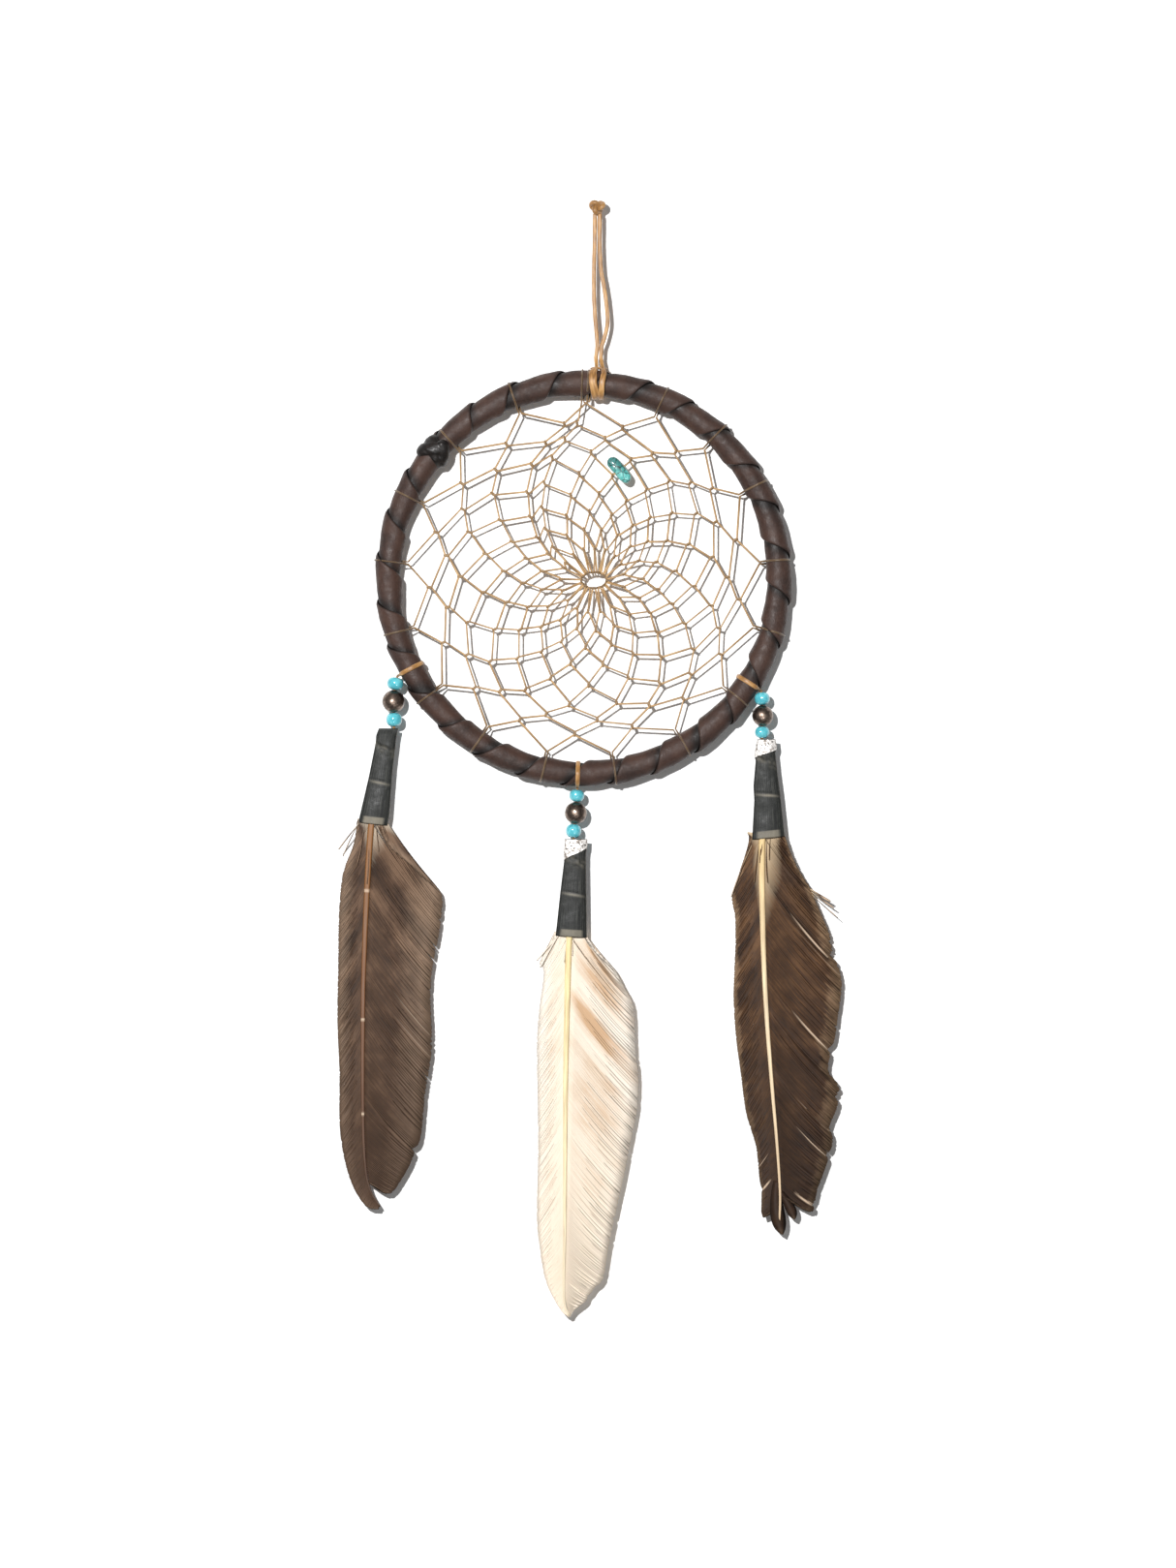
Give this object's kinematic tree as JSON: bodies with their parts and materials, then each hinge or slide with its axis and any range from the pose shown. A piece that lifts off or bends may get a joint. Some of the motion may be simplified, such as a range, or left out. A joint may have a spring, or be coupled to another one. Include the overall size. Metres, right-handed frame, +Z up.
{
  "type": "dream catcher",
  "caption": "Leather-wrapped hoop with a sinew net and turquoise chip, hung by a lace loop, with beaded feather pendants below.",
  "frame": {"origin": "where the lace loop hangs on its nail, just under the loop's knot", "axes": "+Z up, -Y towards the front of the net, +X to the right seen from the front"},
  "size_m": [0.1844, 0.0164, 0.4091],
  "materials": {
    "leather": "satin dark brown leather strip",
    "cane": "bare cane",
    "sinew": "waxed golden sinew",
    "lace": "tan lace",
    "turquoise_stone": "polished turquoise with dark matrix",
    "turquoise_glass": "glossy opaque turquoise glass",
    "antique_metal": "dark polished bronze",
    "tape": "creased dark tape with silver flecks",
    "quill": "smooth horn",
    "feather_brown": "grey brown feather barbs",
    "feather_cream": "cream feather barbs with tan bands",
    "feather_dark": "dark brown feather barbs"
  },
  "bodies": {
    "hanger": {"loop_knot": "lace"},
    "loop": {"hanging_loop": "lace"},
    "hoop": {"inner_hoop": "cane", "leather_wrap": "leather", "leather_end_knot": "leather", "web_sinew": "sinew", "left_band": "lace", "bottom_band": "lace", "right_band": "lace"},
    "chip": {"turquoise_chip": "turquoise_stone"},
    "left_string": {"left_string": "lace"},
    "left_top_bead": {"left_top_bead": "turquoise_glass"},
    "left_metal_bead": {"left_metal_bead": "antique_metal"},
    "left_low_bead": {"left_low_bead": "turquoise_glass"},
    "left_feather": {"left_sleeve": "tape", "left_quill": "quill", "left_left_vane": "feather_brown", "left_right_vane": "feather_brown"},
    "bottom_string": {"bottom_string": "lace"},
    "bottom_top_bead": {"bottom_top_bead": "turquoise_glass"},
    "bottom_metal_bead": {"bottom_metal_bead": "antique_metal"},
    "bottom_low_bead": {"bottom_low_bead": "turquoise_glass"},
    "bottom_feather": {"bottom_sleeve": "tape", "bottom_quill": "quill", "bottom_left_vane": "feather_cream", "bottom_right_vane": "feather_cream"},
    "right_string": {"right_string": "lace"},
    "right_top_bead": {"right_top_bead": "turquoise_glass"},
    "right_metal_bead": {"right_metal_bead": "antique_metal"},
    "right_low_bead": {"right_low_bead": "turquoise_glass"},
    "right_feather": {"right_sleeve": "tape", "right_quill": "quill", "right_left_vane": "feather_dark", "right_right_vane": "feather_dark"}
  },
  "joints": [
    {"name": "loop_swing", "type": "hinge", "parent": "hanger", "child": "loop", "pos_m": [0, 0, 0], "axis": [0, 1, 0], "range_deg": [-40, 40]},
    {"name": "hoop_tilt", "type": "hinge", "parent": "loop", "child": "hoop", "pos_m": [0.0006, 0, -0.0603], "axis": [-1, 0, 0], "range_deg": [0, 25]},
    {"name": "chip_rock", "type": "hinge", "parent": "hoop", "child": "chip", "pos_m": [0.00826, -0.0001, -0.09196], "axis": [0.745, 0.0886, 0.6612], "range_deg": [-35, 35]},
    {"name": "left_swing", "type": "hinge", "parent": "hoop", "child": "left_string", "pos_m": [-0.07298, 0, -0.16749], "axis": [0, 1, 0], "range_deg": [-8, 35]},
    {"name": "left_top_bead_spin", "type": "hinge", "parent": "left_string", "child": "left_top_bead", "pos_m": [-0.0738, 0, -0.17031], "axis": [0.1617, 0, 0.9868], "continuous": true},
    {"name": "left_metal_bead_spin", "type": "hinge", "parent": "left_string", "child": "left_metal_bead", "pos_m": [-0.0745, 0, -0.1768], "axis": [0.038, 0, 0.9993], "continuous": true},
    {"name": "left_low_bead_spin", "type": "hinge", "parent": "left_string", "child": "left_low_bead", "pos_m": [-0.0743, 0, -0.18347], "axis": [-0.0212, 0, 0.9998], "continuous": true},
    {"name": "left_tilt", "type": "hinge", "parent": "left_string", "child": "left_feather", "pos_m": [-0.0743, 0, -0.18622], "axis": [-1, 0, 0], "range_deg": [0, 30]},
    {"name": "bottom_swing", "type": "hinge", "parent": "hoop", "child": "bottom_string", "pos_m": [-0.00708, 0, -0.20867], "axis": [0, 1, 0], "range_deg": [-14, 14]},
    {"name": "bottom_top_bead_spin", "type": "hinge", "parent": "bottom_string", "child": "bottom_top_bead", "pos_m": [-0.0073, 0, -0.21137], "axis": [0.068, 0, 0.9977], "continuous": true},
    {"name": "bottom_metal_bead_spin", "type": "hinge", "parent": "bottom_string", "child": "bottom_metal_bead", "pos_m": [-0.0077, 0, -0.2177], "axis": [0.0923, 0, 0.9957], "continuous": true},
    {"name": "bottom_low_bead_spin", "type": "hinge", "parent": "bottom_string", "child": "bottom_low_bead", "pos_m": [-0.0085, 0, -0.22431], "axis": [0.0851, 0, 0.9964], "continuous": true},
    {"name": "bottom_tilt", "type": "hinge", "parent": "bottom_string", "child": "bottom_feather", "pos_m": [-0.0085, 0, -0.22706], "axis": [-1, 0, 0], "range_deg": [0, 30]},
    {"name": "right_swing", "type": "hinge", "parent": "hoop", "child": "right_string", "pos_m": [0.06021, 0, -0.17296], "axis": [0, 1, 0], "range_deg": [-35, 8]},
    {"name": "right_top_bead_spin", "type": "hinge", "parent": "right_string", "child": "right_top_bead", "pos_m": [0.0606, 0, -0.17581], "axis": [-0.0642, 0, 0.9979], "continuous": true},
    {"name": "right_metal_bead_spin", "type": "hinge", "parent": "right_string", "child": "right_metal_bead", "pos_m": [0.0608, 0, -0.18208], "axis": [0, 0, 1], "continuous": true},
    {"name": "right_low_bead_spin", "type": "hinge", "parent": "right_string", "child": "right_low_bead", "pos_m": [0.0606, 0, -0.18814], "axis": [0.0236, 0, 0.9997], "continuous": true},
    {"name": "right_tilt", "type": "hinge", "parent": "right_string", "child": "right_feather", "pos_m": [0.0606, 0, -0.19054], "axis": [-1, 0, 0], "range_deg": [0, 30]}
  ]
}
